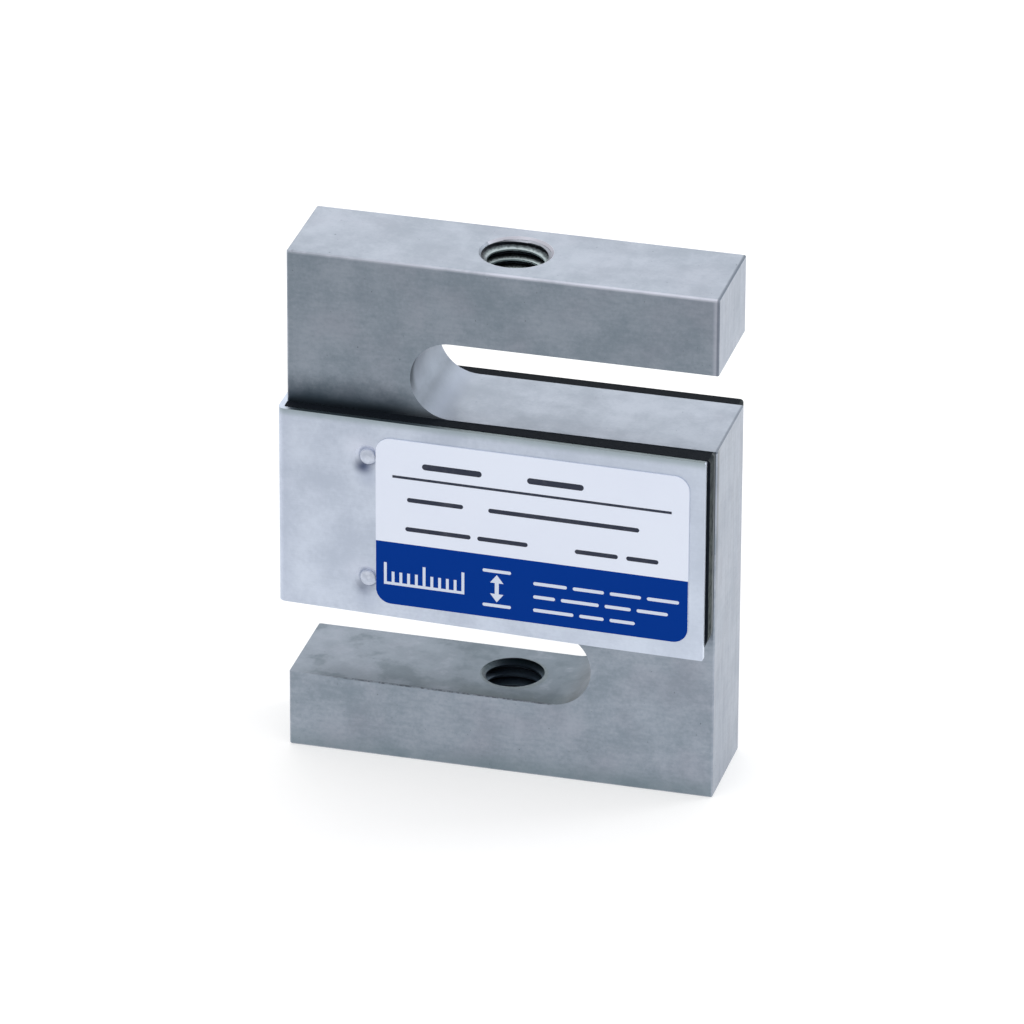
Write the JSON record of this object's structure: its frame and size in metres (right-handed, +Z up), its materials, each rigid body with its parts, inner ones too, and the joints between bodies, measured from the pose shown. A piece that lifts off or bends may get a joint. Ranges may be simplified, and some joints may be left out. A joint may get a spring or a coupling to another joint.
{
  "type": "s type load cell",
  "caption": "S-shaped steel spring element with opposed slots, tapped holes on its load axis and a gauge window closed by a folded sheet cover on gaskets; measures pull and push.",
  "frame": {"origin": "on the load axis, in the bottom face of the lower arm", "axes": "+Z up along the load axis, +Y from the labelled front to the back, +X to the right seen from the front"},
  "size_m": [0.0515, 0.0183, 0.0635],
  "materials": {
    "body_steel": "nickel-plated alloy steel, fine ground, satin",
    "cover_sheet": "cold-rolled stainless sheet, soft satin",
    "gasket_foam": "black closed-cell foam",
    "pin_steel": "satin domed heads",
    "label_film": "printed polyester film, white over a blue band",
    "gauge_film": "amber polyimide backing",
    "solder_terminal": "tinned copper on polyimide",
    "board_laminate": "green solder resist",
    "resistor_body": "chip with tinned ends",
    "lead_insulation": "extruded insulation",
    "grommet_rubber": "moulded, semi-matt"
  },
  "bodies": {
    "root": {"s_body": "body_steel", "cover": "cover_sheet", "gasket_front": "gasket_foam", "gasket_rear": "gasket_foam", "cover_pins": "pin_steel", "label": "label_film", "bridge_board": "board_laminate", "cable_grommet": "grommet_rubber", "strain_gauge_upper_left": "gauge_film", "gauge_terminal_upper_left": "solder_terminal", "gauge_lead_upper_left": "lead_insulation", "strain_gauge_upper_right": "gauge_film", "gauge_terminal_upper_right": "solder_terminal", "gauge_lead_upper_right": "lead_insulation", "strain_gauge_lower_left": "gauge_film", "gauge_terminal_lower_left": "solder_terminal", "gauge_lead_lower_left": "lead_insulation", "strain_gauge_lower_right": "gauge_film", "gauge_terminal_lower_right": "solder_terminal", "gauge_lead_lower_right": "lead_insulation", "trim_resistor_1": "resistor_body", "trim_resistor_2": "resistor_body", "trim_resistor_3": "resistor_body"}
  },
  "joints": []
}
